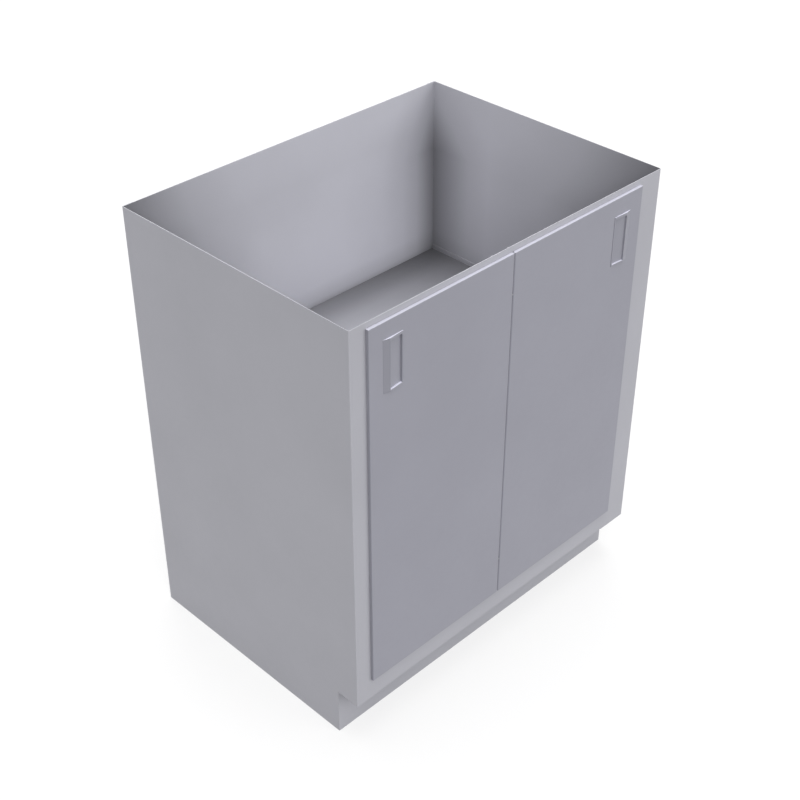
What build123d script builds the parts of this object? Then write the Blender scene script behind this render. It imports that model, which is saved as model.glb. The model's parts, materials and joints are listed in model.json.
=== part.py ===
from build123d import *
import os

os.makedirs("parts", exist_ok=True)

# A sheet-steel sink base cabinet with an open top, two doors and a lift-out shelf.
# Millimetres. The front faces -Y, +Z is up, and the floor is Z = 0.

# Case
case_width = 762.0
case_depth = 558.8
case_height = 895.35
sheet = 1.2
bend_radius = 1.8
toe_height = 101.6
toe_recess = 50.8
rear_flange = 22.0
base_flange = 16.0
tray_depth = 25.0
return_depth = 20.0

# Front frame and doors
left_margin = 33.8
right_margin = 58.9
top_margin = 10.8
door_bottom = 147.3
seam_x = -17.3
seam_gap = 1.0
lip_overlap = 10.0
door_proud = 6.35
door_total = 19.0
skin = 0.9
bumper_height = 0.5
door_edge_radius = 0.85
nose_radius = 2.5
lip_return = 12.5
corner_relief = 1.8
pan_clearance = 3.0
pan_bevel = 3.0

# Pivots
pin_inset = 3.0
pin_setback = 3.0
pin_radius = 1.5
pin_reach = 9.0
pin_clearance = 0.05
finger_half_width = 1.8
plate_thickness = 2.5
plate_clearance = 0.3
fork_slot_depth = 4.2
bracket_inset = 70.0
bracket_width = 26.0
bracket_tab_height = 30.0
bracket_tab_thickness = 1.8
bracket_screw_drop = 10.5
bracket_screw_pitch = 12.0
pivot_block_width = 10.0
pivot_block_height = 30.0

# Centre mullion
mullion_width = 40.0
mullion_depth = 22.0
mullion_setback = 5.0

# Pulls
left_pull_drop = 31.4
right_pull_drop = 34.9
left_pull_margin = 30.1
right_pull_margin = 31.4
pull_proud = 3.4
pull_ramp = 12.8
cup_width = 28.2
cup_height = 90.0
cup_sink = 2.9
grip_depth = 3.0
pull_side_lip = 2.2
pull_top_lip = 5.0
pull_bottom_lip = 3.0
pull_wall = 1.5
pull_fit = 0.3
pull_foot = 0.3
pull_tail = 0.9
pull_stud_radius = 3.5
pull_stud_inset = 16.0

# Shelf
shelf_top = 518.0
shelf_gap = 1.0
shelf_edge = 25.0
shelf_rim = 10.0
shelf_front_gap = 45.0
clip_thickness = 2.0
clip_length = 40.0
clip_reach = 18.0
clip_drop = 22.0

# Feet
gusset_size = 62.0
gusset_thickness = 3.0
gusset_height = 26.0
gusset_reach = 15.0
foot_inset = 34.0
foot_rise = 1.0
foot_radius = 14.0
foot_head = 7.0
foot_bolt_radius = 5.0
foot_bolt_length = 52.0
foot_fit = 0.06

# Catches, bumpers and screws
catch_drop = 45.0
catch_length = 46.0
catch_width = 12.0
catch_depth = 15.0
strike_thickness = 1.0
strike_gap = 0.3
strike_height = 34.0
strike_width = 18.0
strike_edge = 4.0
bumper_size = 8.0
bumper_inset = 40.0
bumper_gap = 0.1
screw_radius = 2.0
screw_head_radius = 3.8
screw_head = 1.6
screw_length = 7.0
wall_hole_radius = 3.5
wall_hole_spacing = 406.4
wall_hole_height = 470.0

# Places worked out from the sizes above
back_y = (case_depth + door_proud + pull_proud) / 2
face_y = back_y - case_depth
door_front = face_y - door_proud
lip_thickness = door_proud - bumper_height
lip_back = door_front + lip_thickness
half_width = case_width / 2
inner_width = case_width - 2 * sheet
door_top = case_height - top_margin
door_left = -half_width + left_margin
door_right = half_width - right_margin
opening_left = door_left + lip_overlap
opening_right = door_right - lip_overlap
opening_top = door_top - lip_overlap
opening_bottom = door_bottom + lip_overlap
opening_width = opening_right - opening_left
opening_height = opening_top - opening_bottom
door_height = door_top - door_bottom
door_middle = (door_top + door_bottom) / 2
floor_top = opening_bottom - sheet
toe_y = face_y + toe_recess
inner_back = back_y - 2 * sheet
pin_y = door_front + pin_setback
pin_offset = seam_gap / 2 + pin_inset
bracket_heights = {
    "upper": opening_top - bracket_inset,
    "lower": opening_bottom + bracket_inset,
}
bracket_screw_places = [
    (seam_x, plate_z - bracket_screw_drop - row * bracket_screw_pitch)
    for plate_z in bracket_heights.values()
    for row in range(2)
]
shelf_width = inner_width - 2 * shelf_gap
shelf_front = face_y + shelf_front_gap
shelf_depth = inner_back - shelf_gap - shelf_front
mullion_front = face_y + mullion_setback


def front_plane(y):
    """A sketch plane facing the front at depth y, with X to the right and Z up."""
    return Plane.XZ.offset(-y)


def save(part, name):
    part.label = name
    export_step(part, f"parts/{name}.step")


def side_panel(stile_width, mirrored):
    """A side wall folded from one sheet: rear flange, wall, front stile and its return."""
    wall_x = -half_width
    stile_x = wall_x + stile_width
    with BuildPart() as panel:
        with BuildSketch(Plane.XY):
            with BuildLine():
                FilletPolyline(
                    (wall_x + rear_flange, back_y),
                    (wall_x, back_y),
                    (wall_x, face_y),
                    (stile_x, face_y),
                    radius=bend_radius,
                )
                offset(amount=sheet, side=Side.LEFT)
            make_face()
        extrude(amount=case_height)
        # The return runs beside the door opening only.
        with BuildSketch(Plane.XY.offset(opening_bottom)):
            with Locations((stile_x, face_y)):
                Rectangle(sheet, return_depth, align=(Align.MAX, Align.MIN))
        extrude(amount=opening_height)
        # Toe notch.
        with BuildSketch(Plane.YZ.offset(wall_x)):
            with Locations((face_y, 0)):
                Rectangle(toe_recess, toe_height, align=(Align.MIN, Align.MIN))
        extrude(amount=stile_width + sheet, mode=Mode.SUBTRACT)
        # Base flange that stands on the floor.
        with BuildSketch(Plane.XY):
            with Locations((wall_x + sheet, toe_y + sheet)):
                Rectangle(
                    base_flange - sheet,
                    inner_back - toe_y - sheet,
                    align=(Align.MIN, Align.MIN),
                )
        extrude(amount=sheet)
        if mirrored:
            mirror(about=Plane.YZ, mode=Mode.REPLACE)
    return panel.part


# ---- Case ----
left_stile = left_margin + lip_overlap
right_stile = right_margin + lip_overlap
left_side_panel = side_panel(left_stile, mirrored=False)
right_side_panel = side_panel(right_stile, mirrored=True)
save(left_side_panel, "left_side_panel")
save(right_side_panel, "right_side_panel")

with BuildPart() as back_panel:
    with BuildSketch(front_plane(inner_back)):
        with Locations((0, case_height / 2)):
            Rectangle(inner_width, case_height)
        with Locations((0, wall_hole_height)):
            with GridLocations(wall_hole_spacing, 0, 2, 1):
                Circle(wall_hole_radius, mode=Mode.SUBTRACT)
    extrude(amount=-sheet)
    rear_edges = back_panel.edges().filter_by(Axis.Z).group_by(Axis.Y)[-1]
    fillet(rear_edges, radius=bend_radius - sheet)
save(back_panel.part, "back_panel")

with BuildPart() as top_front_rail:
    with BuildSketch(Plane.YZ.offset(opening_left)):
        with BuildLine():
            FilletPolyline(
                (face_y, case_height),
                (face_y, opening_top),
                (face_y + return_depth, opening_top),
                radius=bend_radius,
            )
            offset(amount=sheet, side=Side.LEFT)
        make_face()
    extrude(amount=opening_width)
save(top_front_rail.part, "top_front_rail")

with BuildPart() as bottom_front_rail:
    with BuildSketch(Plane.YZ.offset(opening_left)):
        with BuildLine():
            FilletPolyline(
                (face_y + return_depth, opening_bottom),
                (face_y, opening_bottom),
                (face_y, toe_height),
                (toe_y + return_depth, toe_height),
                radius=bend_radius,
            )
            offset(amount=sheet, side=Side.LEFT)
        make_face()
    extrude(amount=opening_width)
save(bottom_front_rail.part, "bottom_front_rail")

with BuildPart() as toe_kick:
    with BuildSketch(Plane.YZ.offset(-inner_width / 2)):
        with BuildLine():
            FilletPolyline(
                (toe_y + return_depth, toe_height),
                (toe_y, toe_height),
                (toe_y, 0),
                radius=bend_radius,
            )
            offset(amount=sheet, side=Side.LEFT)
        make_face()
    extrude(amount=inner_width)
save(toe_kick.part, "toe_kick")

# The cabinet floor is a tray turned upside down, tucked under the bottom rail.
floor_front = face_y + 2 * bend_radius
with BuildPart() as bottom_panel:
    with BuildSketch(Plane.XY.offset(floor_top)):
        with Locations((0, floor_front)):
            Rectangle(
                inner_width,
                inner_back - floor_front,
                align=(Align.CENTER, Align.MIN),
            )
    extrude(amount=-tray_depth)
    fillet(bottom_panel.edges().group_by(Axis.Z)[-1], radius=bend_radius)
    tray_opening = bottom_panel.faces().sort_by(Axis.Z)[0]
    offset(amount=-sheet, openings=tray_opening)
save(bottom_panel.part, "bottom_panel")

# Both doors hang on this channel, set back behind them.
with BuildPart() as center_mullion:
    with BuildSketch(Plane.XY.offset(opening_bottom)):
        with BuildLine():
            FilletPolyline(
                (seam_x - mullion_width / 2, mullion_front + mullion_depth),
                (seam_x - mullion_width / 2, mullion_front),
                (seam_x + mullion_width / 2, mullion_front),
                (seam_x + mullion_width / 2, mullion_front + mullion_depth),
                radius=bend_radius,
            )
            offset(amount=sheet, side=Side.LEFT)
        make_face()
    extrude(amount=opening_height)
    with BuildSketch(front_plane(mullion_front)):
        with Locations(bracket_screw_places):
            Circle(screw_radius + pin_clearance)
    extrude(amount=-sheet, mode=Mode.SUBTRACT)
save(center_mullion.part, "center_mullion")


# ---- Feet and their gussets ----
foot_places = [
    (side * (half_width - sheet - foot_inset), y)
    for side in (-1, 1)
    for y in (toe_y + sheet + foot_inset, inner_back - foot_inset)
]
foot_names = [
    "left_front_foot",
    "left_rear_foot",
    "right_front_foot",
    "right_rear_foot",
]
with BuildPart() as foot_gussets:
    with BuildSketch(Plane.XY.offset(gusset_height)):
        for foot_x, foot_y in foot_places:
            side = 1 if foot_x > 0 else -1
            end = -1 if foot_y < 0 else 1
            with BuildLine():
                Polyline(
                    (foot_x + side * foot_inset, foot_y + end * foot_inset),
                    (foot_x + side * (foot_inset - gusset_size), foot_y + end * foot_inset),
                    (foot_x - side * gusset_reach, foot_y - end * gusset_reach),
                    (foot_x + side * foot_inset, foot_y + end * (foot_inset - gusset_size)),
                    close=True,
                )
            make_face()
        with Locations(foot_places):
            Circle(foot_bolt_radius + foot_fit, mode=Mode.SUBTRACT)
    extrude(amount=gusset_thickness)
save(foot_gussets.part, "foot_gussets")

for (foot_x, foot_y), foot_name in zip(foot_places, foot_names):
    with BuildPart() as foot:
        with BuildSketch(Plane.XY.offset(foot_rise)):
            with Locations((foot_x, foot_y)):
                RegularPolygon(foot_radius, side_count=6)
        extrude(amount=foot_head)
        with BuildSketch(Plane.XY.offset(foot_rise)):
            with Locations((foot_x, foot_y)):
                Circle(foot_bolt_radius)
        extrude(amount=foot_bolt_length)
    save(foot.part, foot_name)


# ---- Shelf ----
# Its side edges are turned up, its front and rear edges down, and its corners are notched.
shelf_bottom = shelf_top - sheet
shelf_back = shelf_front + shelf_depth
with BuildPart() as shelf:
    with BuildSketch(front_plane(shelf_front + bend_radius)):
        with BuildLine():
            FilletPolyline(
                (-shelf_width / 2, shelf_top + shelf_rim),
                (-shelf_width / 2, shelf_bottom),
                (shelf_width / 2, shelf_bottom),
                (shelf_width / 2, shelf_top + shelf_rim),
                radius=bend_radius,
            )
            offset(amount=sheet, side=Side.LEFT)
        make_face()
    extrude(amount=-(shelf_depth - 2 * bend_radius))
    with BuildSketch(Plane.YZ.offset(bend_radius - shelf_width / 2)):
        with BuildLine():
            FilletPolyline(
                (shelf_front, shelf_top - shelf_edge),
                (shelf_front, shelf_top),
                (shelf_back, shelf_top),
                (shelf_back, shelf_top - shelf_edge),
                radius=bend_radius,
            )
            offset(amount=sheet, side=Side.RIGHT)
        make_face()
    extrude(amount=shelf_width - 2 * bend_radius)
save(shelf.part, "shelf")

# Four angle clips on the side walls, which the shelf lies on.
clip_ends = (shelf_front + clip_length, shelf_back - clip_length)
with BuildPart() as shelf_clips:
    for clip_y in clip_ends:
        with BuildSketch(Plane.XZ.offset(-clip_y - clip_length / 2)):
            for side in (-1, 1):
                wall = side * inner_width / 2
                with BuildLine():
                    Polyline(
                        (wall, shelf_bottom),
                        (wall - side * clip_reach, shelf_bottom),
                        (wall - side * clip_reach, shelf_bottom - clip_thickness),
                        (wall - side * clip_thickness, shelf_bottom - clip_thickness),
                        (wall - side * clip_thickness, shelf_bottom - clip_drop),
                        (wall, shelf_bottom - clip_drop),
                        close=True,
                    )
                make_face()
        extrude(amount=clip_length)
save(shelf_clips.part, "shelf_clips")


# ---- Pivot brackets ----
# Each is a fork with one finger and one pintle for each door. The slot between the
# fingers and their width leave room for the doors' front skins as they turn.
tab_front = mullion_front - bracket_tab_thickness
slot_back = pin_y + fork_slot_depth
for level, plate_z in bracket_heights.items():
    with BuildPart() as bracket:
        with BuildSketch(Plane.XY.offset(plate_z)):
            for side in (-1, 1):
                with Locations((seam_x + side * pin_offset, pin_y)):
                    Circle(finger_half_width)
                    Rectangle(
                        2 * finger_half_width,
                        mullion_front - pin_y,
                        align=(Align.CENTER, Align.MIN),
                    )
            with Locations((seam_x, slot_back)):
                Rectangle(
                    2 * pin_offset,
                    mullion_front - slot_back,
                    align=(Align.CENTER, Align.MIN),
                )
        extrude(amount=plate_thickness)
        with BuildSketch(Plane.XY.offset(plate_z - pin_reach)):
            with Locations((seam_x, pin_y)):
                with GridLocations(2 * pin_offset, 0, 2, 1):
                    Circle(pin_radius)
        extrude(amount=plate_thickness + 2 * pin_reach)
        with BuildSketch(front_plane(tab_front)):
            with Locations((seam_x, plate_z + plate_thickness)):
                Rectangle(
                    bracket_width,
                    bracket_tab_height + plate_thickness,
                    align=(Align.CENTER, Align.MAX),
                )
        extrude(amount=-bracket_tab_thickness)
        with BuildSketch(front_plane(tab_front)):
            with Locations(bracket_screw_places):
                Circle(screw_radius + pin_clearance)
        extrude(amount=-bracket_tab_thickness, mode=Mode.SUBTRACT)
    save(bracket.part, f"{level}_pivot_bracket")

with BuildPart() as bracket_screws:
    with BuildSketch(front_plane(tab_front)):
        with Locations(bracket_screw_places):
            RegularPolygon(screw_head_radius, side_count=6)
    extrude(amount=screw_head)
    with BuildSketch(front_plane(tab_front)):
        with Locations(bracket_screw_places):
            Circle(screw_radius)
    extrude(amount=-screw_length)
save(bracket_screws.part, "bracket_screws")


# ---- Doors ----
pan_inset = lip_overlap + pan_clearance
relief_height = pan_inset
pan_near = mullion_width / 2 + pan_clearance - seam_gap / 2
rim_near = skin + pivot_block_width + plate_clearance
rim_front = lip_back - 2 * skin
door_back = door_front + door_total
catch_z = opening_top - catch_drop - catch_length / 2
catch_front = door_back + strike_thickness + strike_gap
stud_spacing = cup_height - 2 * pull_stud_inset
stud_room = pull_stud_radius + pull_fit
block_bottoms = [
    plate_z + (plate_thickness - pivot_block_height) / 2
    for plate_z in bracket_heights.values()
]


def upright(x0, x1, y0, y1):
    """A rectangle in plan between two corners, for the sketch that is open."""
    with Locations(((x0 + x1) / 2, (y0 + y1) / 2)):
        Rectangle(abs(x1 - x0), abs(y1 - y0))


def door(name, side, edge_x, pull_margin, pull_drop):
    """One lipped door, hung at the seam: skin, inner pan, core, pivot blocks and pull."""
    hinge_x = seam_x + side * seam_gap / 2
    width = abs(edge_x - hinge_x)
    middle_x = (edge_x + hinge_x) / 2
    pin_x = hinge_x + side * pin_inset

    def from_seam(distance):
        return hinge_x + side * distance

    def from_edge(distance):
        return edge_x - side * distance

    pan_middle = (from_seam(pan_near) + from_edge(pan_inset)) / 2
    pan_width = width - pan_near - pan_inset
    pan_height = door_height - 2 * pan_inset
    pull_x = from_edge(pull_margin)
    cup_x0 = from_edge(pull_margin + pull_ramp)
    cup_x1 = from_edge(pull_margin + pull_ramp + cup_width)
    cup_outer_x0 = cup_x0 + side * pull_wall
    cup_outer_x1 = cup_x1 - side * pull_wall
    pull_end = from_edge(pull_margin + pull_ramp + cup_width + pull_side_lip)
    cup_floor = door_front + cup_sink
    cup_low = door_top - pull_drop - pull_top_lip - cup_height
    stud_low = cup_low + pull_stud_inset
    stud_x = (cup_x0 + cup_x1) / 2
    stud_places = [(stud_x, stud_low), (stud_x, stud_low + stud_spacing)]
    block_end = from_seam(skin + pivot_block_width)

    with BuildPart() as skin_pan:
        with BuildSketch(front_plane(door_front)):
            with Locations((middle_x, door_middle)):
                Rectangle(width, door_height)
        extrude(amount=-lip_thickness)
        seam_middle = (hinge_x, door_front, door_middle)
        front_edges = skin_pan.faces().sort_by(Axis.Y)[0].edges()
        fillet(front_edges.sort_by_distance(seam_middle)[0], radius=nose_radius)
        pan_back = skin_pan.faces().sort_by(Axis.Y)[-1]
        offset(amount=-skin, openings=pan_back)
        front_edges = skin_pan.faces().sort_by(Axis.Y)[0].edges()
        fillet(front_edges.sort_by_distance(seam_middle)[1:], radius=door_edge_radius)
        with BuildSketch(front_plane(lip_back - skin)):
            with Locations((middle_x, door_middle)):
                Rectangle(width - skin, door_height - skin)
                Rectangle(
                    width - 2 * lip_return,
                    door_height - 2 * lip_return,
                    mode=Mode.SUBTRACT,
                )
        extrude(amount=-skin)
        # Relief at the seam side's back corners, which swing close to the rails.
        for z in (door_bottom, door_top - relief_height):
            with BuildSketch(Plane.XY.offset(z)):
                upright(hinge_x, from_seam(corner_relief), lip_back - corner_relief, lip_back)
            extrude(amount=relief_height, mode=Mode.SUBTRACT)
        # Windows for the pivot blocks in the seam side's return, and slits for the forks.
        for z in block_bottoms:
            with BuildSketch(Plane.XY.offset(z)):
                upright(from_seam(skin), from_seam(rim_near), rim_front, lip_back)
            extrude(amount=pivot_block_height, mode=Mode.SUBTRACT)
        for z in bracket_heights.values():
            with BuildSketch(Plane.XY.offset(z - plate_clearance)):
                upright(hinge_x, from_seam(2 * skin), door_front + skin, lip_back)
            extrude(amount=plate_thickness + 2 * plate_clearance, mode=Mode.SUBTRACT)
        with BuildSketch(Plane.XY.offset(cup_low - pull_wall - pull_fit)):
            upright(
                cup_outer_x0 + side * pull_fit,
                cup_outer_x1 - side * pull_fit,
                door_front,
                door_front + skin,
            )
        extrude(amount=cup_height + 2 * (pull_wall + pull_fit), mode=Mode.SUBTRACT)
    save(skin_pan.part, f"{name}_door_skin")

    # A hat whose rim lies inside the skin's return.
    with BuildPart() as inner_pan:
        with BuildSketch(front_plane(rim_front)):
            with Locations((pan_middle, door_middle)):
                Rectangle(pan_width, pan_height)
        extrude(amount=-(door_back - rim_front))
        chamfer(inner_pan.faces().sort_by(Axis.Y)[-1].edges(), length=pan_bevel)
        offset(amount=-skin, openings=inner_pan.faces().sort_by(Axis.Y)[0])
        with BuildSketch(front_plane(rim_front)):
            with Locations(((from_seam(rim_near) + from_edge(2 * skin)) / 2, door_middle)):
                Rectangle(width - rim_near - 2 * skin, door_height - 4 * skin)
            with Locations((pan_middle, door_middle)):
                Rectangle(pan_width - 2 * skin, pan_height - 2 * skin, mode=Mode.SUBTRACT)
        extrude(amount=-skin)
        with BuildSketch(front_plane(door_back)):
            with Locations(stud_places):
                Circle(screw_radius + pin_clearance)
        extrude(amount=skin, mode=Mode.SUBTRACT)
    save(inner_pan.part, f"{name}_door_inner_pan")

    # Sound-deadening board between the skin and the hat, cut out behind the pull.
    with BuildPart() as core:
        with BuildSketch(front_plane(door_front + skin)):
            with Locations((pan_middle, door_middle)):
                Rectangle(pan_width - 2 * skin, pan_height - 2 * skin)
        extrude(amount=-(door_total - 2 * skin))
        chamfer(core.faces().sort_by(Axis.Y)[-1].edges(), length=pan_bevel)
        with BuildSketch(Plane.XY.offset(cup_low - pull_wall - pull_fit)):
            upright(
                cup_outer_x0 + side * pull_fit,
                cup_outer_x1 - side * pull_fit,
                door_front,
                cup_floor + pull_wall + pull_fit,
            )
        extrude(amount=cup_height + 2 * (pull_wall + pull_fit), mode=Mode.SUBTRACT)
        with BuildSketch(Plane.XY.offset(stud_low - stud_room)):
            upright(stud_x - stud_room, stud_x + stud_room, door_front, door_back)
        extrude(amount=stud_spacing + 2 * stud_room, mode=Mode.SUBTRACT)
    save(core.part, f"{name}_door_core")

    with BuildPart() as pivot_blocks:
        for z in block_bottoms:
            with BuildSketch(Plane.XY.offset(z)):
                upright(from_seam(skin), block_end, door_front + skin, lip_back)
            extrude(amount=pivot_block_height)
        front_corners = pivot_blocks.edges().filter_by(Axis.Z).group_by(Axis.Y)[0]
        nose_edges = front_corners.group_by(Axis.X)[0 if side > 0 else -1]
        fillet(nose_edges, radius=nose_radius)
        for z in bracket_heights.values():
            with BuildSketch(Plane.XY.offset(z - plate_clearance)):
                upright(
                    hinge_x,
                    pin_x + side * (finger_half_width + plate_clearance),
                    door_front,
                    lip_back,
                )
            extrude(amount=plate_thickness + 2 * plate_clearance, mode=Mode.SUBTRACT)
            with BuildSketch(Plane.XY.offset(z - pin_reach - plate_clearance)):
                with Locations((pin_x, pin_y)):
                    Circle(pin_radius + pin_clearance)
            extrude(
                amount=plate_thickness + 2 * (pin_reach + plate_clearance),
                mode=Mode.SUBTRACT,
            )
    save(pivot_blocks.part, f"{name}_door_pivot_blocks")

    # Flush pull: a ramp on the free side up to a crest, and a long fall beyond it, into
    # which the finger cup is sunk.
    with BuildPart() as pull:
        with BuildSketch(Plane.XY.offset(cup_low - pull_bottom_lip)):
            with BuildLine():
                Polyline(
                    (pull_x, door_front),
                    (pull_x, door_front - pull_foot),
                    (cup_x0, door_front - pull_proud),
                    (pull_end, door_front - pull_tail),
                    (pull_end, door_front),
                    close=True,
                )
            make_face()
        extrude(amount=pull_bottom_lip + cup_height + pull_top_lip)
        with BuildSketch(Plane.XY.offset(cup_low - pull_wall)):
            upright(cup_outer_x0, cup_outer_x1, door_front, cup_floor + pull_wall)
        extrude(amount=cup_height + 2 * pull_wall)
        with BuildSketch(Plane.XY.offset(cup_low)):
            with BuildLine():
                Polyline(
                    (cup_x0, door_front - 2 * pull_proud),
                    (cup_x0, door_front - pull_proud + grip_depth),
                    (cup_x1, cup_floor),
                    (cup_x1, door_front - 2 * pull_proud),
                    close=True,
                )
            make_face()
        extrude(amount=cup_height, mode=Mode.SUBTRACT)
        with BuildSketch(front_plane(cup_floor + pull_wall)):
            with Locations(stud_places):
                Circle(pull_stud_radius)
                Circle(screw_radius + pin_clearance, mode=Mode.SUBTRACT)
        extrude(amount=-(door_back - skin - cup_floor - pull_wall))
    save(pull.part, f"{name}_door_pull")

    with BuildPart() as pull_screws:
        with BuildSketch(front_plane(door_back)):
            with Locations(stud_places):
                RegularPolygon(screw_head_radius, side_count=6)
        extrude(amount=-screw_head)
        with BuildSketch(front_plane(door_back)):
            with Locations(stud_places):
                Circle(screw_radius)
        extrude(amount=screw_length)
    save(pull_screws.part, f"{name}_pull_screws")

    with BuildPart() as strike:
        with BuildSketch(front_plane(door_back)):
            with Locations((from_edge(pan_inset + strike_edge + strike_width / 2), catch_z)):
                Rectangle(strike_width, strike_height)
        extrude(amount=-strike_thickness)
    save(strike.part, f"{name}_door_strike")

    # The catch is screwed to the stile's return, just behind the closed door's strike.
    opening_edge = edge_x - side * lip_overlap
    with BuildPart() as catch:
        with BuildSketch(front_plane(catch_front)):
            with Locations((opening_edge - side * catch_width / 2, catch_z)):
                Rectangle(catch_width, catch_length)
        extrude(amount=-catch_depth)
        fillet(catch.faces().sort_by(Axis.Y)[-1].edges(), radius=bend_radius)
    save(catch.part, f"{name}_catch")


door("left", -1, door_left, left_pull_margin, left_pull_drop)
door("right", 1, door_right, right_pull_margin, right_pull_drop)

# Rubber pads on the stiles that the closed doors' lips come to.
bumper_places = [
    (x, z)
    for x in (opening_left - lip_overlap / 2, opening_right + lip_overlap / 2)
    for z in (opening_bottom + bumper_inset, opening_top - bumper_inset)
]
with BuildPart() as door_bumpers:
    with BuildSketch(front_plane(face_y)):
        with Locations(bumper_places):
            Rectangle(bumper_size, bumper_size)
    extrude(amount=bumper_height - bumper_gap)
save(door_bumpers.part, "door_bumpers")
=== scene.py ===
import json
import math

import bpy
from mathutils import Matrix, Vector

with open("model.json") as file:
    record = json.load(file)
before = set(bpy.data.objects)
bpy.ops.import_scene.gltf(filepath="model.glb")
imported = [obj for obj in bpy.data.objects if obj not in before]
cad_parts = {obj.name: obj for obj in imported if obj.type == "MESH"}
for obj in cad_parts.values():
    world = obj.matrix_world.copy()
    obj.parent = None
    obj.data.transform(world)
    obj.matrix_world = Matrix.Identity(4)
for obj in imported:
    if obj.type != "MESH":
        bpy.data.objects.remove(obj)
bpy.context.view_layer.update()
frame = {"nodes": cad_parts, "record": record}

# Places and sizes are in metres, in the cabinet's own frame: the front faces -Y.

# Camera, found from the corners of the cabinet in the photograph.
CAMERA_PLACE = (-1.57912, -1.58003, 2.01974)
CAMERA_YAW = math.radians(44.991)
CAMERA_PITCH = math.radians(35.166)
IMAGE_SIDE = 800
FOCAL_PIXELS = 1429.15
SENSOR_WIDTH = 36.0

# Colours, all linear.
CASE_COLOR = (0.435, 0.435, 0.475)
DOOR_COLOR = (0.322, 0.322, 0.369)
STEEL_COLOR = (0.62, 0.62, 0.63)
BOARD_COLOR = (0.60, 0.53, 0.40)
PLASTIC_COLOR = (0.72, 0.72, 0.70)
RUBBER_COLOR = (0.03, 0.03, 0.03)

# Powder coat: features per metre of its cloudiness and of its sheen, its range of brightness and
# of roughness, its gloss, and its skin from coarse to fine, each as features per metre, detail,
# strength and depth.
COAT_CLOUD = 5.0
COAT_SHEEN = 90.0
COAT_TINTS = (0.975, 1.025)
COAT_ROUGHNESS = (0.40, 0.50)
COAT_GLOSS = 0.17
COAT_SKIN = ((650.0, 2.0, 0.10, 0.0002), (2400.0, 1.0, 0.06, 0.0001))

# Zinc plate: features per metre across its brushing, how far these are drawn out along it, its
# range of roughness, and the strength and depth of its grain.
BRUSHING = 300.0
BRUSHING_STRETCH = (1, 1, 0.05)
STEEL_ROUGHNESS = (0.26, 0.42)
STEEL_GRAIN = (0.15, 0.0002)

# Range of brightness of the plate and of plain surfaces, and the strength of the latter's grain.
MOTTLE_TINTS = (0.85, 1.1)
GRAIN_STRENGTH = 0.3

# Part of a noise's values over which a colour or roughness runs through its range.
NOISE_RANGE = (0.3, 0.7)

# Inside of the case, where shade and light are painted into the case's paint, and flat top of the
# shelf, as ranges in x, y and z. SHELF_LEVEL is the underside of the shelf's sheet, and what lies
# deeper than BACK_DEPTH is the back, which gets painted light.
SHELF_LEVEL = 0.5168
INSIDE = ((-0.3803, 0.3803), (-0.2735, 0.2824), (0.1565, 0.905))
SHELF_TOP = ((-0.3782, 0.3782), (-0.2300, 0.2812), (SHELF_LEVEL, 0.5182))
BACK_DEPTH = INSIDE[1][1] - 0.001

# Painted shade and painted light in the case's paint inside, each share of the paint's colour
# after the distance at which it's reached: on the walls painted shade towards the upright corners
# and lighter than the paint away from them, painted shade near the shelf, painted light on the
# back by height, lighter lower down, and painted shade on the shelf towards its ends and its long
# edges.
WALL_PAINTED_SHADES = ((0.0, 0.42), (0.04, 0.62), (0.10, 0.95), (0.18, 1.13), (0.30, 1.22))
CONTACT_PAINTED_SHADES = ((0.0, 0.72), (0.012, 0.88), (0.045, 1.0))
BACK_PAINTED_LIGHT = ((0.56, 1.30), (0.68, 1.16), (0.80, 1.0))
SHELF_PAINTED_SHADES = (
    ((0.0, 0.35), (0.06, 0.49), (0.16, 0.71), (0.34, 1.0)),
    ((0.0, 0.41), (0.04, 0.54), (0.08, 0.76), (0.14, 0.90)),
)

# How the distance from the upright corners, which sets the painted shade on the walls, is
# measured.
# What a point is away from the side walls counts this many times, and from the left wall and from
# the front only by these shares, so the painted shade stays darker there. Above OPEN_TOP, where
# light comes in, the height is added, which paints the walls lighter towards the open top, by a
# share that grows by this much a metre away from the left wall and from the front.
SIDE_WEIGHT = 2.0
DULL_SHARES = (0.30, 0.38)
OPEN_TOP = 0.75
OPEN_GROWTH = 1.5

# Seam between the doors, with a half width that takes in both lips, and the doors' painted light
# and shade: painted light in the seam, a painted highlight on faces that look up, and painted
# shade on those that look left. A face comes to look up or left as its normal's part that way goes
# through these ranges.
SEAM = -0.0173
SEAM_REACH = 0.0006
SEAM_PAINTED_LIGHT = 1.7
DOOR_TOP_PAINTED_HIGHLIGHT = 1.6
PULL_TOP_PAINTED_HIGHLIGHT = 2.1
LEFT_PAINTED_SHADE = 0.84
LOOKS_UP = (0.5, 0.9)
LOOKS_LEFT = (0.05, 0.22)

# Light: a weak even sky, and wide soft suns, each with its strength and direction.
WORLD_COLOR = (0.8, 0.8, 0.8)
WORLD_STRENGTH = 0.58
SUN_ANGLE = math.radians(40)
SUNS = {
    "key": (1.50, (0.50, 0.62, -0.72)),
    "front": (0.82, (-0.45, 0.78, -0.45)),
    "left": (0.24, (0.92, 0.12, -0.38)),
    "back": (1.10, (-0.52, -0.76, -0.36)),
    "top": (1.40, (0.0, 0.0, -1.0)),
}

# Floor: its colour for light, the glow that makes it look white, and half its side, and how far
# the camera sees, which takes in the whole of it.
FLOOR_COLOR = (0.25, 0.25, 0.25)
FLOOR_GLOW = 0.69
FLOOR_REACH = 60.0
SIGHT = 4 * FLOOR_REACH


def blank_tree(owner):
    """The emptied node tree of a material or a world."""
    owner.use_nodes = True
    owner.node_tree.nodes.clear()
    return owner.node_tree


def new_material(name):
    material = bpy.data.materials.new(name)
    tree = blank_tree(material)
    output = tree.nodes.new("ShaderNodeOutputMaterial")
    shader = tree.nodes.new("ShaderNodeBsdfPrincipled")
    tree.links.new(shader.outputs["BSDF"], output.inputs["Surface"])
    return material, tree, shader


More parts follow.
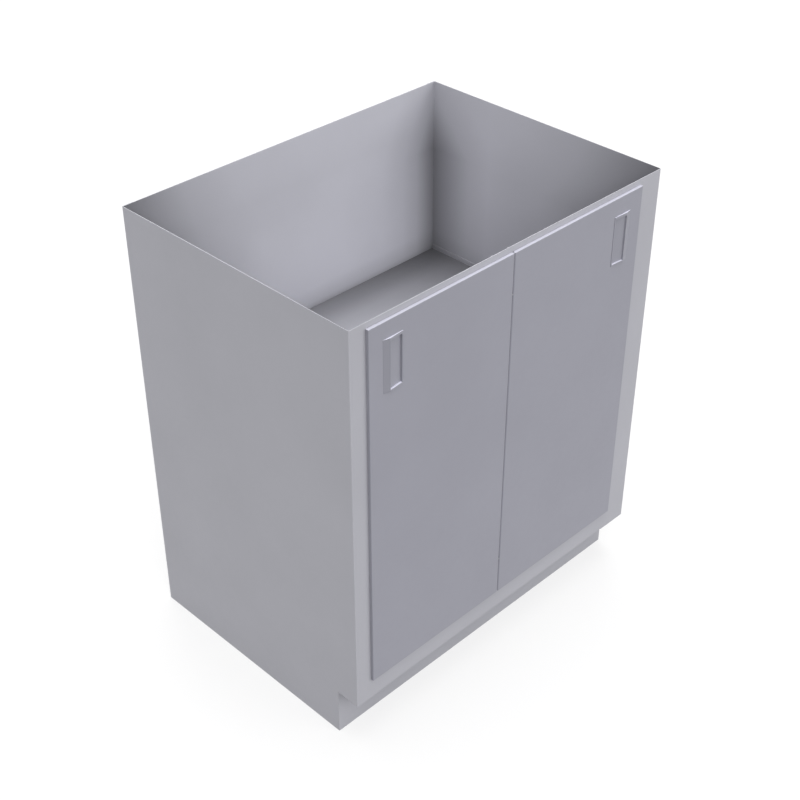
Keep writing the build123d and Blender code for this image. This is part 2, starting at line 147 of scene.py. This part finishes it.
def object_noise(tree, scale, detail=3.0, roughness=0.5, stretch=(1, 1, 1)):
    """Noise in the object's own space, with scale in features per metre."""
    place = tree.nodes.new("ShaderNodeTexCoord")
    mapping = tree.nodes.new("ShaderNodeMapping")
    mapping.inputs["Scale"].default_value = stretch
    noise = tree.nodes.new("ShaderNodeTexNoise")
    noise.inputs["Scale"].default_value = scale
    noise.inputs["Detail"].default_value = detail
    noise.inputs["Roughness"].default_value = roughness
    tree.links.new(place.outputs["Object"], mapping.inputs["Vector"])
    tree.links.new(mapping.outputs["Vector"], noise.inputs["Vector"])
    return noise.outputs["Fac"]


def ramp(tree, factor, stops):
    """Greys or colours, each after its place along factor."""
    node = tree.nodes.new("ShaderNodeValToRGB")
    elements = node.color_ramp.elements
    for place, _ in stops[2:]:
        elements.new(place)
    for element, (place, color) in zip(elements, stops):
        element.position = place
        element.color = (*color, 1) if isinstance(color, tuple) else (color, color, color, 1)
    tree.links.new(factor, node.inputs["Fac"])
    return node.outputs["Color"]


def spread(tree, factor, places, ends):
    """A ramp from the first end to the second between two places along factor."""
    return ramp(tree, factor, tuple(zip(places, ends)))


def scaled(color, shares):
    """The colour at each share of its brightness."""
    return [tuple(channel * share for channel in color) for share in shares]


def bump(tree, height, strength, distance, before=None):
    node = tree.nodes.new("ShaderNodeBump")
    node.inputs["Strength"].default_value = strength
    node.inputs["Distance"].default_value = distance
    tree.links.new(height, node.inputs["Height"])
    if before is not None:
        tree.links.new(before, node.inputs["Normal"])
    return node.outputs["Normal"]


def math_node(tree, operation, *values):
    node = tree.nodes.new("ShaderNodeMath")
    node.operation = operation
    for socket, value in zip(node.inputs, values):
        if isinstance(value, (int, float)):
            socket.default_value = value
        else:
            tree.links.new(value, socket)
    return node.outputs["Value"]


def mixed(tree, blend, factor, first, second):
    node = tree.nodes.new("ShaderNodeMix")
    node.data_type = "RGBA"
    node.blend_type = blend
    if isinstance(factor, float):
        node.inputs["Factor"].default_value = factor
    else:
        tree.links.new(factor, node.inputs["Factor"])
    tree.links.new(first, node.inputs["A"])
    tree.links.new(second, node.inputs["B"])
    return node.outputs["Result"]


def multiplied(tree, first, second):
    return mixed(tree, "MULTIPLY", 1.0, first, second)


def split_axes(tree, vector):
    node = tree.nodes.new("ShaderNodeSeparateXYZ")
    tree.links.new(vector, node.inputs["Vector"])
    return [node.outputs[name] for name in "XYZ"]


def within(tree, axes, box):
    """One inside the box and nought outside it."""
    share = 1.0
    for axis, (low, high) in zip(axes, box):
        found = math_node(tree, "COMPARE", axis, (low + high) / 2, (high - low) / 2)
        share = math_node(tree, "MULTIPLY", found, share)
    return share


def paint_corner_shade(tree, tint):
    """The case's paint with light and shade painted in inside: painted shade in the corners, on
    the walls just over and under the shelf and on the shelf's top, and painted light on the open
    walls and lower down on the back.
    """
    place = tree.nodes.new("ShaderNodeTexCoord")
    axes = split_axes(tree, place.outputs["Object"])
    height = axes[2]
    gain = math_node(tree, "MAXIMUM", math_node(tree, "SUBTRACT", height, OPEN_TOP), 0.0)
    wall_reach, shelf_reach = [], []
    for axis, (low, high), dull_share in zip(axes, INSIDE, DULL_SHARES):
        far = math_node(tree, "SUBTRACT", high, axis)
        near = math_node(tree, "SUBTRACT", axis, low)
        shelf_reach.append(math_node(tree, "MINIMUM", far, near))
        dull = math_node(tree, "MULTIPLY", near, dull_share)
        wall_reach.append(math_node(tree, "MINIMUM", far, dull))
        growth = math_node(tree, "MULTIPLY", near, OPEN_GROWTH)
        growth.node.use_clamp = True
        gain = math_node(tree, "MULTIPLY", gain, growth)

    from_corner = math_node(tree, "MULTIPLY_ADD", wall_reach[0], SIDE_WEIGHT, wall_reach[1])
    from_corner = math_node(tree, "ADD", from_corner, gain)
    from_shelf = math_node(tree, "ABSOLUTE", math_node(tree, "SUBTRACT", height, SHELF_LEVEL))
    # Painted shade towards the upright corners, painted light away from them.
    corners = ramp(tree, from_corner, WALL_PAINTED_SHADES)
    # Painted shade on the walls near the shelf, over and under it.
    walls = multiplied(tree, corners, ramp(tree, from_shelf, CONTACT_PAINTED_SHADES))
    # Painted light on the back, lighter lower down.
    on_back = math_node(tree, "GREATER_THAN", axes[1], BACK_DEPTH)
    walls = mixed(tree, "MULTIPLY", on_back, walls, ramp(tree, height, BACK_PAINTED_LIGHT))

    # Painted shade on the shelf's top towards its ends and its long edges.
    ends, edges = (ramp(tree, reach, shades) for reach, shades in zip(shelf_reach, SHELF_PAINTED_SHADES))
    shelf = multiplied(tree, ends, edges)
    shade = mixed(tree, "MIX", within(tree, axes, SHELF_TOP), walls, shelf)
    # The painted shade and light go on the paint only inside the case.
    return mixed(tree, "MULTIPLY", within(tree, axes, INSIDE), tint, shade)


def paint_edge_light_and_shade(tree, tint, top_highlight):
    """The doors' paint, with light and shade painted in as in the photograph: a painted highlight
    on the narrow faces that look up, painted light in the seam, and painted shade on faces that
    look left."""
    place = tree.nodes.new("ShaderNodeTexCoord")
    normal = split_axes(tree, place.outputs["Normal"])
    # Painted highlight on faces that look up.
    top_painted_highlight = spread(tree, normal[2], LOOKS_UP, (1.0, top_highlight))
    # Painted shade on faces that look left.
    leftward = math_node(tree, "MULTIPLY", normal[0], -1.0)
    side_painted_shading = spread(tree, leftward, LOOKS_LEFT, (1.0, LEFT_PAINTED_SHADE))
    # Painted light on both lips in the seam between the doors.
    across = split_axes(tree, place.outputs["Object"])[0]
    at_seam = math_node(tree, "COMPARE", across, SEAM, SEAM_REACH)
    side_painted_shading = multiplied(tree, side_painted_shading, spread(tree, at_seam, (0.0, 1.0), (1.0, SEAM_PAINTED_LIGHT)))
    return multiplied(tree, tint, multiplied(tree, top_painted_highlight, side_painted_shading))


def powder_coat(name, color, shade, *limits):
    """Baked powder coat: an even colour, faint cloudiness, and a fine orange-peel skin, with light
    and shade painted into its colour by the shading it is given.
    """
    material, tree, shader = new_material(name)
    cloud = object_noise(tree, COAT_CLOUD, detail=4.0)
    tint = spread(tree, cloud, NOISE_RANGE, scaled(color, COAT_TINTS))
    tree.links.new(shade(tree, tint, *limits), shader.inputs["Base Color"])
    sheen = spread(tree, object_noise(tree, COAT_SHEEN), NOISE_RANGE, COAT_ROUGHNESS)
    tree.links.new(sheen, shader.inputs["Roughness"])
    skin = None
    for grain, detail, strength, depth in COAT_SKIN:
        skin = bump(tree, object_noise(tree, grain, detail), strength, depth, before=skin)
    tree.links.new(skin, shader.inputs["Normal"])
    shader.inputs["Specular IOR Level"].default_value = COAT_GLOSS
    return material


def plated_steel(name):
    """Zinc-plated steel with fine lengthwise brushing."""
    material, tree, shader = new_material(name)
    streaks = object_noise(tree, BRUSHING, detail=5.0, stretch=BRUSHING_STRETCH)
    tint = spread(tree, streaks, NOISE_RANGE, scaled(STEEL_COLOR, MOTTLE_TINTS))
    tree.links.new(tint, shader.inputs["Base Color"])
    sheen = spread(tree, streaks, NOISE_RANGE, STEEL_ROUGHNESS)
    tree.links.new(sheen, shader.inputs["Roughness"])
    tree.links.new(bump(tree, streaks, *STEEL_GRAIN), shader.inputs["Normal"])
    shader.inputs["Metallic"].default_value = 1.0
    return material


def plain_surface(name, color, roughness, grain, depth):
    """Moulded plastic, rubber or board: a cloudy colour and a grained skin."""
    material, tree, shader = new_material(name)
    cloud = object_noise(tree, grain, detail=6.0, roughness=0.6)
    tint = spread(tree, cloud, NOISE_RANGE, scaled(color, MOTTLE_TINTS))
    tree.links.new(tint, shader.inputs["Base Color"])
    tree.links.new(bump(tree, cloud, GRAIN_STRENGTH, depth), shader.inputs["Normal"])
    shader.inputs["Roughness"].default_value = roughness
    return material


# The case's coat carries painted shade and painted light inside; the doors' and pulls' coats carry
# painted highlights on faces that look up, painted light in the seam and painted shade on faces
# that look left.
MATERIALS = {
    "case_paint": powder_coat("case_powder_coat_painted_shade", CASE_COLOR, paint_corner_shade),
    "door_paint": powder_coat("door_powder_coat_painted_light", DOOR_COLOR, paint_edge_light_and_shade, DOOR_TOP_PAINTED_HIGHLIGHT),
    "pull_paint": powder_coat("pull_powder_coat_painted_light", DOOR_COLOR, paint_edge_light_and_shade, PULL_TOP_PAINTED_HIGHLIGHT),
    "bright_steel": plated_steel("zinc_plate"),
    "core_board": plain_surface("fibre_board", BOARD_COLOR, 0.9, 120.0, 0.001),
    "catch_plastic": plain_surface("white_nylon", PLASTIC_COLOR, 0.45, 400.0, 0.0002),
    "bumper_rubber": plain_surface("black_rubber", RUBBER_COLOR, 0.7, 900.0, 0.0002),
}


def dress_nodes():
    """Each carried-over node takes the material of its own slot in the record."""
    slots = {part["node"]: part["material_slot"] for part in frame["record"]["subparts"]}
    for name, node in frame["nodes"].items():
        node.data.materials.clear()
        node.data.materials.append(MATERIALS[slots[name]])


def add_camera():
    data = bpy.data.cameras.new("camera")
    data.sensor_width = SENSOR_WIDTH
    data.lens = FOCAL_PIXELS / IMAGE_SIDE * SENSOR_WIDTH
    data.clip_end = SIGHT
    camera = bpy.data.objects.new("camera", data)
    camera.location = CAMERA_PLACE
    camera.rotation_euler = (math.radians(90) - CAMERA_PITCH, 0, -CAMERA_YAW)
    bpy.context.scene.collection.objects.link(camera)
    bpy.context.scene.camera = camera


def link_background(tree, output, unseen, seen):
    """Gives the output its seen shader for rays that show the background itself, in a picture,
    a reflection or glass, and its unseen one for the rays that only carry light."""
    rays = tree.nodes.new("ShaderNodeLightPath")
    share = rays.outputs["Is Camera Ray"]
    for name in ("Is Glossy Ray", "Is Transmission Ray"):
        share = math_node(tree, "MAXIMUM", share, rays.outputs[name])
    mix = tree.nodes.new("ShaderNodeMixShader")
    tree.links.new(share, mix.inputs["Fac"])
    tree.links.new(unseen, mix.inputs[1])
    tree.links.new(seen, mix.inputs[2])
    tree.links.new(mix.outputs["Shader"], output.inputs["Surface"])


def floor_material():
    """A floor that looks white but for the shadow on it, and throws little light back up."""
    material = bpy.data.materials.new("white_floor")
    tree = blank_tree(material)
    output = tree.nodes.new("ShaderNodeOutputMaterial")
    diffuse = tree.nodes.new("ShaderNodeBsdfDiffuse")
    diffuse.inputs["Color"].default_value = (*FLOOR_COLOR, 1)
    glow = tree.nodes.new("ShaderNodeEmission")
    glow.inputs["Strength"].default_value = FLOOR_GLOW
    seen = tree.nodes.new("ShaderNodeAddShader")
    tree.links.new(glow.outputs["Emission"], seen.inputs[0])
    tree.links.new(diffuse.outputs["BSDF"], seen.inputs[1])
    link_background(tree, output, diffuse.outputs["BSDF"], seen.outputs["Shader"])
    return material


def add_floor():
    mesh = bpy.data.meshes.new("floor")
    signs = ((-1, -1), (1, -1), (1, 1), (-1, 1))
    corners = [(x * FLOOR_REACH, y * FLOOR_REACH, 0) for x, y in signs]
    mesh.from_pydata(corners, [], [(0, 1, 2, 3)])
    mesh.materials.append(floor_material())
    floor = bpy.data.objects.new("floor", mesh)
    bpy.context.scene.collection.objects.link(floor)


def add_world():
    """A sky that throws weak even light and looks white itself."""
    world = bpy.data.worlds.new("studio")
    bpy.context.scene.world = world
    tree = blank_tree(world)
    output = tree.nodes.new("ShaderNodeOutputWorld")
    sky = tree.nodes.new("ShaderNodeBackground")
    sky.inputs["Color"].default_value = (*WORLD_COLOR, 1)
    sky.inputs["Strength"].default_value = WORLD_STRENGTH
    white = tree.nodes.new("ShaderNodeBackground")
    white.inputs["Color"].default_value = (1, 1, 1, 1)
    link_background(tree, output, sky.outputs["Background"], white.outputs["Background"])


def add_sun(name, strength, direction):
    light = bpy.data.lights.new(name, "SUN")
    light.energy = strength
    light.angle = SUN_ANGLE
    sun = bpy.data.objects.new(name, light)
    sun.rotation_euler = Vector(direction).to_track_quat("-Z", "Y").to_euler()
    bpy.context.scene.collection.objects.link(sun)


dress_nodes()
add_camera()
add_floor()
add_world()
for sun_name, (sun_strength, sun_direction) in SUNS.items():
    add_sun(sun_name, sun_strength, sun_direction)

bpy.context.scene.view_settings.view_transform = "Standard"
